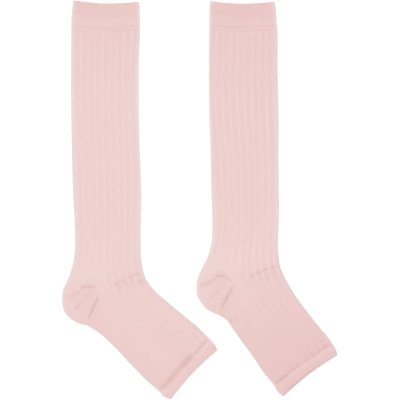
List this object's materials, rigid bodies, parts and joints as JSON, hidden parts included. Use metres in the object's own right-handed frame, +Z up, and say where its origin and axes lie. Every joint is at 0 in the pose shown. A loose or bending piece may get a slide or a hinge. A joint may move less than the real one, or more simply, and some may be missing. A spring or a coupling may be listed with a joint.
{
  "type": "pair of open-toe long socks",
  "caption": "Pair of long ribbed knit socks with doubled cuffs, heel pockets and open, banded toes, lying flat side by side.",
  "frame": {"origin": "on the surface that the socks lie on, under the middle of the box round the pair", "axes": "+X from the left sock to the right one, the way the toes point; +Y up the legs to the cuffs; +Z up from the surface"},
  "size_m": [0.3431, 0.4978, 0.0046],
  "materials": {
    "cuff_knit": "matt doubled knit, pale pink",
    "body_knit": "matt wide-ribbed knit, pale pink, plain on the heel and sole",
    "toe_band_knit": "matt doubled knit, pale pink"
  },
  "bodies": {
    "root": {"left_cuff": "cuff_knit", "left_leg": "body_knit", "left_heel": "body_knit", "left_foot": "body_knit", "left_toe_band": "toe_band_knit", "right_cuff": "cuff_knit", "right_leg": "body_knit", "right_heel": "body_knit", "right_foot": "body_knit", "right_toe_band": "toe_band_knit"}
  },
  "joints": []
}
